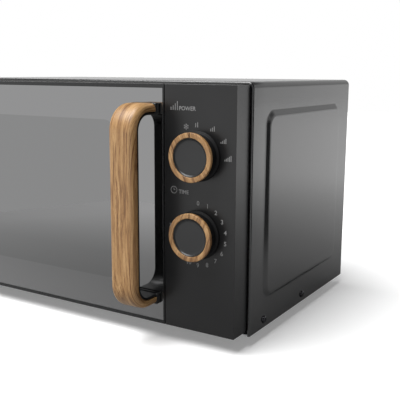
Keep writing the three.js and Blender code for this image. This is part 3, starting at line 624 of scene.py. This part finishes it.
def handle_stations(tip, steps=18):
    """Points of the C along the outer face, each with its inward direction in y and z."""
    low, high = HANDLE_LO.z, HANDLE_HI.z
    centre_y = HANDLE_LO.y + HANDLE_BEND
    straight = high - low - 2 * HANDLE_BEND
    out = [((tip, high), (0.0, -1.0))]
    for i in range(1, 4):
        out.append(((tip + (centre_y - tip) * i / 4, high), (0.0, -1.0)))
    for centre_z, start in ((high - HANDLE_BEND, 0.0), (low + HANDLE_BEND, math.pi / 2)):
        for i in range(steps + 1):
            turn = start + i * math.pi / 2 / steps
            inward = (math.sin(turn), -math.cos(turn))
            place = (centre_y - HANDLE_BEND * inward[0], centre_z - HANDLE_BEND * inward[1])
            out.append((place, inward))
        if start == 0.0:
            for i in range(1, 12):
                out.append(((HANDLE_LO.y, high - HANDLE_BEND - straight * i / 12), (1.0, 0.0)))
    for i in range(3, 0, -1):
        out.append(((tip + (centre_y - tip) * i / 4, low), (0.0, 1.0)))
    out.append(((tip, low), (0.0, 1.0)))
    return out


def handle_skin(name, section, inset, tip, finish, replaced):
    """Sweeps a section of (depth, across) points along the C, with flat ends."""
    bm = bmesh.new()
    across = (HANDLE_LO.x + HANDLE_HI.x) / 2
    section = [(depth + inset, w) for depth, w in section]
    rows = []
    for (y, z), (ny, nz) in handle_stations(tip):
        rows.append([bm.verts.new((across + w, y + ny * depth, z + nz * depth)) for depth, w in section])
    size = len(section)
    for first, second in zip(rows, rows[1:]):
        for i in range(size):
            j = (i + 1) % size
            bm.faces.new((first[i], first[j], second[j], second[i]))
    bm.faces.new(rows[0])
    bm.faces.new(list(reversed(rows[-1])))
    bmesh.ops.recalc_face_normals(bm, faces=bm.faces)
    smooth(bm, 50)
    skin = new_object(name, bm, finish, "door", replaced)
    places = [Vector((0, *place)) for place, _ in handle_stations(tip)]
    run, grain = 0.0, []
    for i, place in enumerate(places):
        run += (place - places[i - 1]).length if i else 0.0
        grain += [(w, depth - inset, run) for depth, w in section]
    add_grain(skin, grain)
    return skin


def arc_points(centre, radius, start, end, steps=8):
    turns = (start + (end - start) * i / steps for i in range(steps + 1))
    return [(centre[0] + radius * math.cos(t), centre[1] + radius * math.sin(t)) for t in turns]


def make_handle():
    """The wooden sleeve, the black strap inside it and the two blocks that meet the door."""
    half = (HANDLE_HI.x - HANDLE_LO.x) / 2
    quarter = math.pi / 2
    big, small = 6.5 * MM, 0.8 * MM
    section = arc_points((big, -half + big), big, 2 * quarter, 3 * quarter)
    section += arc_points((WOOD_DEPTH - small, -half + small), small, 3 * quarter, 4 * quarter, 3)
    section += arc_points((WOOD_DEPTH - small, half - small), small, 0, quarter, 3)
    section += arc_points((big, half - big), big, quarter, 2 * quarter)
    tip = HANDLE_HI.y
    handle_skin("handle_wood", section, 0.0, tip, "wood", ["handle_grip"])
    inset = WOOD_DEPTH + 0.25 * MM
    thick = 2.75 * MM
    edge = half - 0.7 * MM
    fillet, crisp = 1.1 * MM, 0.3 * MM
    strap = arc_points((fillet, -edge + crisp), crisp, 2 * quarter, 3 * quarter, 2)
    strap += arc_points((thick - fillet, -edge + fillet), fillet, 3 * quarter, 4 * quarter, 4)
    strap += arc_points((thick - fillet, edge - fillet), fillet, 0, quarter, 4)
    strap += arc_points((fillet, edge - crisp), crisp, quarter, 2 * quarter, 2)
    handle_skin("handle_strap", strap, inset, GLASS_LO.y - 0.2 * MM, "core", ["handle_core"])
    for name, z in (("handle_foot_upper", HANDLE_HI.z), ("handle_foot_lower", HANDLE_LO.z)):
        toward = -1 if z > middle("handle_grip").z else 1
        depth = toward * (WOOD_DEPTH + 3 * MM)
        bm = bmesh.new()
        low = (HANDLE_LO.x, tip + 0.15 * MM, min(z, z + depth))
        high = (HANDLE_HI.x, GLASS_LO.y - 0.15 * MM, max(z, z + depth))
        slab(bm, low, high)
        bmesh.ops.bevel(bm, geom=bm.edges[:], offset=fillet, segments=3, profile=0.5, affect="EDGES")
        smooth(bm)
        weighted(new_object(name, bm, "core", "door"))


# ---------------------------------------------------------------- knobs
def make_knob(which):
    """A control knob: a wooden ring with a pointer notch, round a black skirt and a dished face."""
    body = f"{which}_knob"
    ring_lo, ring_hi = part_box(f"{which}_knob_ring")
    cap_lo, cap_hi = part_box(f"{which}_knob_cap")
    base_lo, base_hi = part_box(f"{which}_knob_body")
    c = middle(f"{which}_knob_ring")
    centre = (c.x, c.z)
    outer = (ring_hi.x - ring_lo.x) / 2
    inner = (cap_hi.x - cap_lo.x) / 2 + 0.3 * MM
    front, back = ring_lo.y, ring_hi.y
    profile = rounded([
        (inner, back), (outer, back), (outer, front), (inner, front), (inner, back - 0.2 * MM),
    ], 0.7 * MM, 5)
    name = f"{which}_ring_wood"
    ring = turned_piece(name, "y", profile, centre, "wood_ring", body, [f"{which}_knob_ring"], 128)
    cut_groove(ring, (c.x, front, c.z), inner, outer)
    lean = 0.5 if which == "power" else -0.3      # each ring is cut from its own piece of wood
    places = [v.co for v in ring.data.vertices]
    add_grain(ring, [(p.x + lean * p.z, p.y, p.z - lean * p.x) for p in places])
    flange = (base_hi.x - base_lo.x) / 2
    skirt = flange - 2.5 * MM
    seat = back + 0.1 * MM
    foot, shaft = FRONT - 0.4 * MM, 3 * MM
    profile = rounded([
        (0, seat), (skirt, seat), (skirt, FRONT - 3.2 * MM), (flange, FRONT - 2 * MM), (flange, foot),
        (shaft, foot), (shaft, base_hi.y), (0, base_hi.y),
    ], 0.6 * MM, 3)
    name = f"{which}_knob_skirt"
    turned_piece(name, "y", profile, centre, "skirt", body, [f"{which}_knob_body"], 128)
    edge = inner - 0.2 * MM
    deep, rim = cap_lo.y + 1.6 * MM, cap_lo.y
    dish = [(0, deep)] + [(edge * share, deep) for share in (0.3, 0.6, 0.82)]
    dish += [
        (edge - 2.2 * MM, deep - 0.08 * MM), (edge - 1.1 * MM, deep - 0.62 * MM),
        (edge - 0.45 * MM, rim), (edge, rim), (edge, cap_hi.y), (0, cap_hi.y),
    ]
    profile = rounded(dish, 0.7 * MM, 4)
    turned_piece(f"{which}_knob_face", "y", profile, centre, "cap", body, [f"{which}_knob_cap"], 128)


def cut_groove(ring, top, inner, outer):
    """Cuts the pointer's narrow notch across the top of a wooden ring and fills its floor dark."""
    x, front, z = top
    half, deep = 0.5 * MM, 0.6 * MM
    bm = bmesh.new()
    low = (x - half, front - 1 * MM, z + inner - 1 * MM)
    slab(bm, low, (x + half, front + deep, z + outer + 1 * MM))
    subtract(ring, bm)
    bm = bmesh.new()
    low = (x - half + 0.03 * MM, front + deep - 0.1 * MM, z + inner + 0.3 * MM)
    slab(bm, low, (x + half - 0.03 * MM, front + deep - 0.02 * MM, z + outer - 0.3 * MM))
    new_object(f"{ring.name}_notch", bm, "pointer", ring["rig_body"])


# ---------------------------------------------------------------- printing on the panel
PRINT_Y = FRONT - 0.03 * MM


def text_piece(name, words, size, centre, align="CENTER"):
    curve = bpy.data.curves.new(name, "FONT")
    curve.body = words
    curve.size = size
    curve.align_x = align
    curve.align_y = "CENTER"
    curve.extrude = PRINT_HALF
    curve.offset = 0.09 * MM
    obj = bpy.data.objects.new(name, curve)
    bpy.context.scene.collection.objects.link(obj)
    obj.location = (centre[0], PRINT_Y, centre[1])
    obj.rotation_euler = (math.pi / 2, 0, 0)
    paint(obj, "print")
    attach(obj, "chassis")
    return obj


def flat_marks(name, strokes):
    """Thin printed bars: each stroke is (start, end, width) on the panel."""
    bm = bmesh.new()
    for start, end, width in strokes:
        a, b = Vector(start), Vector(end)
        side = (b - a).normalized().orthogonal() * width / 2
        corners = [a + side, b + side, b - side, a - side]
        front = [bm.verts.new((p.x, PRINT_Y - PRINT_HALF, p.y)) for p in corners]
        back = [bm.verts.new((p.x, PRINT_Y + PRINT_HALF, p.y)) for p in corners]
        bm.faces.new(front)
        bm.faces.new(list(reversed(back)))
        for i in range(4):
            j = (i + 1) % 4
            bm.faces.new((front[i], back[i], back[j], front[j]))
    bmesh.ops.recalc_face_normals(bm, faces=bm.faces)
    return new_object(name, bm, "print", "chassis")


def level_bars(name, centre, heights, pitch, width):
    """A row of upright bars on one base line."""
    start = centre[0] - pitch * (len(heights) - 1) / 2
    base = centre[1] - max(heights) / 2
    bars = [(start + i * pitch, h) for i, h in enumerate(heights)]
    return flat_marks(name, [((x, base), (x, base + h), width) for x, h in bars])


def snowflake(name, centre, radius):
    strokes = []
    centre = Vector(centre)
    for i in range(3):
        angle = i * math.pi / 3 + math.pi / 2
        arm = Vector((math.cos(angle), math.sin(angle))) * radius
        strokes.append((centre - arm, centre + arm, 0.55 * MM))
        for sign in (1, -1):
            joint = centre + arm * 0.55 * sign
            for turn in (math.radians(50), -math.radians(50)):
                twig = arm.normalized() * sign * radius * 0.36
                twig.rotate(Matrix.Rotation(turn, 2))
                strokes.append((joint, joint + twig, 0.45 * MM))
    return flat_marks(name, strokes)


def clock_icon(name, centre, radius):
    bm = bmesh.new()
    back, front = PRINT_Y + PRINT_HALF, PRINT_Y - PRINT_HALF
    line = 0.45 * MM
    inner = radius - line
    profile = [(inner, back), (radius, back), (radius, front), (inner, front)]
    revolved(bm, "y", profile, centre, 48)
    new_object(f"{name}_rim", bm, "print", "chassis")
    c = Vector(centre)
    hands = ((0, radius * 0.6), (radius * 0.45, 0))
    flat_marks(f"{name}_hands", [(c, c + Vector(hand), line) for hand in hands])


def on_dial(centre, radius, degrees):
    """A place round a dial, clockwise from its top."""
    turn = math.radians(degrees)
    return (centre[0] + radius * math.sin(turn), centre[1] + radius * math.cos(turn))


def make_printing():
    """The dial numbers, the level marks and the two headings."""
    power, timer = middle("power_knob_ring"), middle("timer_knob_ring")
    power, timer = (power.x, power.z), (timer.x, timer.z)
    dial, step, digit, letter = 30.5 * MM, 20, 6.0 * MM, 5.35 * MM
    minutes = list(range(11)) + [15, 20, 25, 30]
    for i, number in enumerate(minutes):
        text_piece(f"minute_{number}", str(number), digit, on_dial(timer, dial, step * i))
    snowflake("mark_defrost", (power[0] - 13.6 * MM, power[1] + 27.1 * MM), 2.9 * MM)
    levels = [
        ((-2, 29.3), (3.9, 4.7), 2.2), ((15.2, 26.3), (2.6, 3.6, 4.8), 1.85),
        ((26.9, 15.6), (1.6, 2.6, 3.7, 4.8), 1.7), ((31.9, -0.1), (1.5, 2.5, 3.5, 4.5, 5.4), 1.6),
    ]
    for i, ((dx, dz), heights, pitch) in enumerate(levels):
        place = (power[0] + dx * MM, power[1] + dz * MM)
        level_bars(f"mark_level_{i + 1}", place, [h * MM for h in heights], pitch * MM, 0.75 * MM)
    left = PANEL_LO.x + 6.8 * MM
    heights = [h * MM for h in (3.0, 4.4, 6.0, 8.3)]
    level_bars("mark_power", (left + 4.2 * MM, power[1] + 46.4 * MM), heights, 2.4 * MM, 0.8 * MM)
    text_piece("word_power", "POWER", letter, (left + 9.5 * MM, power[1] + 43.9 * MM), "LEFT")
    clock_icon("mark_timer", (left + 3.8 * MM, timer[1] + 41.3 * MM), 3.6 * MM)
    text_piece("word_time", "TIME", letter, (left + 9.3 * MM, timer[1] + 39.9 * MM), "LEFT")


# ---------------------------------------------------------------- door
def punched_cell(bm, centre, y, hole, corners):
    """One cell of the screen: four faces from the cell's corners to an octagonal hole."""
    turns = [math.radians(-135 + 45 * n) for n in range(8)]
    spots = [(centre[0] + hole * math.cos(t), y, centre[1] + hole * math.sin(t)) for t in turns]
    ring = [bm.verts.new(spot) for spot in spots]
    for n in range(4):
        bend = (ring[(2 * n + 2) % 8], ring[2 * n + 1], ring[2 * n])
        bm.faces.new((corners[n], corners[(n + 1) % 4], *bend))


def make_screen():
    """The door's steel sheet: plain margins round a grid of small holes, and a rim turned inwards."""
    pitch, hole = 3.4 * MM, 1.15 * MM
    y = SCREEN_LO.y + 0.45 * MM
    nx = int((WINDOW_X[1] - WINDOW_X[0]) / pitch)
    nz = int((WINDOW_Z[1] - WINDOW_Z[0]) / pitch)
    x0 = (WINDOW_X[0] + WINDOW_X[1] - nx * pitch) / 2
    z0 = (WINDOW_Z[0] + WINDOW_Z[1] - nz * pitch) / 2
    bm = bmesh.new()
    columns = [
        [bm.verts.new((x0 + i * pitch, y, z0 + k * pitch)) for k in range(nz + 1)] for i in range(nx + 1)
    ]
    for i in range(nx):
        for k in range(nz):
            centre = (x0 + (i + 0.5) * pitch, z0 + (k + 0.5) * pitch)
            here, beside = columns[i], columns[i + 1]
            punched_cell(bm, centre, y, hole, (here[k], beside[k], beside[k + 1], here[k + 1]))
    (left, bottom), (right, top) = (SCREEN_LO.x, SCREEN_LO.z), (SCREEN_HI.x, SCREEN_HI.z)
    outline = [(left, bottom), (right, bottom), (right, top), (left, top)]
    rim = [bm.verts.new((x, y, z)) for x, z in outline]
    lip = [bm.verts.new((x, SCREEN_HI.y, z)) for x, z in outline]
    bm.faces.new([rim[0], rim[1]] + [column[0] for column in reversed(columns)])
    bm.faces.new([rim[1], rim[2]] + columns[nx][::-1])
    bm.faces.new([rim[2], rim[3]] + [column[nz] for column in columns])
    bm.faces.new([rim[3], rim[0]] + columns[0])
    for n in range(4):
        m = (n + 1) % 4
        bm.faces.new((rim[n], lip[n], lip[m], rim[m]))
    bmesh.ops.recalc_face_normals(bm, faces=bm.faces)
    screen = new_object("door_screen_sheet", bm, "inner_black", "door", ["door_screen"])
    skin = screen.modifiers.new("sheet", "SOLIDIFY")
    skin.thickness = 0.5 * MM
    skin.offset = 0


def make_film():
    """The clear film that closes the door's inner face."""
    low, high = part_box("choke_cover")
    margin = 22 * MM
    start = (low.x + 24 * MM, low.y + 0.6 * MM, low.z + margin)
    end = (high.x - 36 * MM, low.y + 1.1 * MM, high.z - margin)
    bm = bmesh.new()
    slab(bm, start, end)
    new_object("inner_film", bm, "film", "door")


def make_spring():
    """A wire coil between the latch bar and its stop, at one fixed length."""
    low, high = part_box("latch_spring")
    c = (low + high) / 2
    length = high.z - low.z
    wire, turns, travel = 0.35 * MM, 9, 4 * MM
    radius = (high.x - low.x) / 2 - wire
    steps, sides = turns * 18, 8
    bm = bmesh.new()
    rows = []
    for i in range(steps + 1):
        t = 2 * math.pi * turns * i / steps
        z = low.z + wire + (length - 2 * wire) * i / steps
        outward, upward = Vector((math.cos(t), math.sin(t), 0)), Vector((0, 0, 1))
        centre = Vector((c.x, c.y, z)) + outward * radius
        angles = [2 * math.pi * k / sides for k in range(sides)]
        spots = [centre + wire * (outward * math.cos(a) + upward * math.sin(a)) for a in angles]
        rows.append([bm.verts.new(spot) for spot in spots])
    for first, second in zip(rows, rows[1:]):
        for k in range(sides):
            j = (k + 1) % sides
            bm.faces.new((first[k], first[j], second[j], second[k]))
    bm.faces.new(rows[0])
    bm.faces.new(list(reversed(rows[-1])))
    bmesh.ops.recalc_face_normals(bm, faces=bm.faces)
    smooth(bm, 60)
    spring = new_object("latch_coil", bm, "zinc", "door", ["latch_spring"])
    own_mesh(spring)


def make_door():
    refined("door_frame", "door", 0.45, 2)
    refined("door_glass", "mirror", 0.35, 2)
    refined("choke_cover", "inner_black", 0.5, 2)
    make_screen()
    make_film()
    refined("latch_hook", "white", 0.5, 2)
    make_spring()


# ---------------------------------------------------------------- cavity and turntable
def make_cavity():
    refined("cavity_liner", "enamel", 0.1, 1)
    refined("front_plate", "enamel", 0.15, 1)
    refined("waveguide_cover", "mica", 0.15, 1)


def make_tray():
    """The glass turntable plate, with a raised rim and a ring moulded in its middle."""
    low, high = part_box("turntable_plate")
    c = middle("turntable_plate")
    r = (high.x - low.x) / 2
    under = high.z - 11.4 * MM
    top = under + 3.6 * MM
    ridge = top + 0.6 * MM
    profile = [
        (0, under), (r - 14 * MM, under), (r - 8 * MM, under + 1.4 * MM),
        (r - 1.5 * MM, high.z - 2.6 * MM), (r, high.z - 1 * MM), (r - 1 * MM, high.z),
        (r - 3 * MM, high.z - 0.6 * MM), (r - 11 * MM, top + 0.9 * MM), (r - 15 * MM, top),
        (45 * MM, top), (44 * MM, ridge), (42 * MM, ridge), (41 * MM, top), (0, top),
    ]
    profile = rounded(profile, 1.2 * MM)
    turned_piece(
        "glass_tray", "z", profile, (c.x, c.y), "tray_glass", "tray", ["turntable_plate"], 160,
    )


def make_turntable():
    for node in ("roller_ring", "turntable_coupler", "roller_1", "roller_2", "roller_3"):
        refined(node, "white", 0.4, 2)


# ---------------------------------------------------------------- the rest of the frame
CARRIED = {
    "zinc": [
        "waveguide", "hinge_upper", "hinge_lower", "timer_unit", "timer_bell",
        "capacitor", "magnetron", "fan_motor", "turntable_motor",
    ],
    "white": ["power_selector", "latch_housing", "lamp_holder", "fan_shroud", "fan_impeller"],
    "switch_black": ["door_switch_lower", "door_switch_upper", "high_voltage_diode", "thermal_cutout"],
    "laminations": ["transformer_core"],
    "copper": ["transformer_primary", "transformer_secondary", "magnetron_antenna"],
    "board": ["filter_board"],
    "bulb": ["lamp_bulb"],
}


def paint_carried_nodes():
    """Gives the inner parts that keep their CAD shape a finish."""
    for finish, nodes in CARRIED.items():
        for node in nodes:
            paint(NODES[node], finish)


# ---------------------------------------------------------------- stage
def stage_plane(name, corners, material, **visible):
    """One flat card; the keywords say which kinds of ray don't see it."""
    mesh = bpy.data.meshes.new(name)
    mesh.from_pydata(corners, [], [(0, 1, 2, 3)])
    plane = bpy.data.objects.new(name, mesh)
    bpy.context.scene.collection.objects.link(plane)
    plane.data.materials.append(material)
    for kind in ("camera", "diffuse", "glossy", "transmission", "shadow"):
        setattr(plane, f"visible_{kind}", visible.get(kind, True))
    return plane


FLOOR_NEAR = FRONT - 0.59                         # where the floor ends in front of the oven
FLOOR_FAR = 4.0
FLOOR_SIDE = 3.0
CARD_X = 1.15


def greys(*stops):
    """Ramp stops of (place, grey)."""
    return [(place, (grey, grey, grey)) for place, grey in stops]


def flat_corners(xs, ys, z):
    return [(xs[0], ys[0], z), (xs[1], ys[0], z), (xs[1], ys[1], z), (xs[0], ys[1], z)]


def make_surroundings():
    """White round the horizon and darker overhead, as in a room with a pale wall."""
    scene = bpy.context.scene
    scene.view_settings.view_transform = "Standard"
    world = bpy.data.worlds.new("studio")
    scene.world = world
    world.use_nodes = True
    tree = world.node_tree
    sky = tree.nodes.new("ShaderNodeTexCoord")
    height = tree.nodes.new("ShaderNodeSeparateXYZ")
    tree.links.new(sky.outputs["Generated"], height.inputs["Vector"])
    ramp = tree.nodes.new("ShaderNodeValToRGB")
    first, last = ramp.color_ramp.elements
    first.position, first.color = 0.11, (1, 1, 1, 1)
    last.position, last.color = 0.52, (0.06, 0.06, 0.06, 1)
    for place, colour in greys((0.165, 0.46), (0.25, 0.58), (0.43, 0.64)):
        ramp.color_ramp.elements.new(place).color = (*colour, 1)
    tree.links.new(height.outputs["Z"], ramp.inputs["Fac"])
    tree.links.new(ramp.outputs["Color"], tree.nodes["Background"].inputs["Color"])


def make_seen_floor():
    """The pale floor that the camera sees."""
    seen = Shader("pale_floor")
    seen.set(Specular_IOR_Level=0.0, Roughness=0.9, Emission_Strength=0.22)
    seen.bsdf.inputs["Emission Color"].default_value = (1, 1, 1, 1)
    seen.colour_from(seen.ramp(seen.noise(6, 2), greys((0.3, 0.84), (0.7, 0.86))))
    corners = flat_corners((-FLOOR_SIDE, FLOOR_SIDE), (FLOOR_NEAR, FLOOR_FAR), 0.0)
    hidden = dict.fromkeys(("diffuse", "glossy", "transmission", "shadow"), False)
    stage_plane("floor", corners, seen.material, **hidden)


def make_reflected_floor():
    """A darker copy of the floor, with painted shade, for the glass and the paint to reflect; it is
    darker near the oven and paler further from it.
    """
    table = Shader("reflected_floor")
    table.set(Specular_IOR_Level=0.1, Roughness=0.8)
    # painted shade: the floor darkens towards a point beside the oven
    away = table.nodes.new("ShaderNodeVectorMath")
    away.operation = "DISTANCE"
    away.inputs[1].default_value = (0.35, 0.1, 0.0)
    table.join(table.coords(), away.inputs[0])
    stops = greys((0.0, 0.27), (0.25, 0.31), (0.6, 0.58), (0.95, 0.9))
    near = table.ramp(away.outputs["Value"], stops)
    # painted shade: darker in a band about 0.25 to 0.36 m in front of the oven, a little paler beyond
    split = table.nodes.new("ShaderNodeSeparateXYZ")
    table.join(table.coords(), split.inputs["Vector"])
    ahead = table.math("MULTIPLY", split.outputs["Y"], -1.0)
    side = table.ramp(ahead, greys((0.0, 1), (0.25, 0.6), (0.36, 0.6), (0.5, 0.71), (0.65, 0.77)))
    table.colour_from(table.mixed(near, side, blend="MULTIPLY"))
    outline = [(-0.39, FLOOR_NEAR), (FLOOR_SIDE, FLOOR_NEAR), (FLOOR_SIDE, FLOOR_FAR), (-2.5, FLOOR_FAR)]
    corners = [(x, y, -0.5 * MM) for x, y in outline]
    stage_plane("floor_reflected", corners, table.material, camera=False)


def make_dark_cards():
    """Dark cards at the right, for the edges that face that way."""
    dark = Shader("dark_card")
    dark.set(Specular_IOR_Level=0.1, Roughness=0.9)
    dark.colour_from(dark.ramp(dark.noise(40, 2), greys((0.3, 0.03), (0.7, 0.04))))
    high, near, far = 1.6, -1.7, 0.12
    corners = [(CARD_X, near, 0.0), (CARD_X, far, 0.0), (CARD_X, far, high), (CARD_X, near, high)]
    stage_plane("side_card", corners, dark.material, camera=False, shadow=False)
    corners = flat_corners((0.6, CARD_X), (FLOOR_NEAR, far), 0.0)
    stage_plane("side_mat", corners, dark.material, camera=False, shadow=False)


def make_light():
    """One wide soft light from above, a little to the left and in front."""
    sun = bpy.data.objects.new("softbox", bpy.data.lights.new("softbox", "SUN"))
    bpy.context.scene.collection.objects.link(sun)
    sun.data.energy = 4.6
    sun.data.angle = math.radians(50)
    sun.rotation_euler = Vector((-0.28, -0.38, 1.0)).to_track_quat("Z", "Y").to_euler()


# ---------------------------------------------------------------- assembly
make_camera()
make_case()
make_case_screws()
make_back()
make_feet()
refined("base_plate", "zinc", 0.15, 1)
refined("control_panel", "panel", 0.8, 3)
make_printing()
for knob in ("power", "timer"):
    make_knob(knob)
make_door()
make_handle()
make_cavity()
make_tray()
make_turntable()
paint_carried_nodes()
make_surroundings()
make_seen_floor()
make_reflected_floor()
make_dark_cards()
make_light()
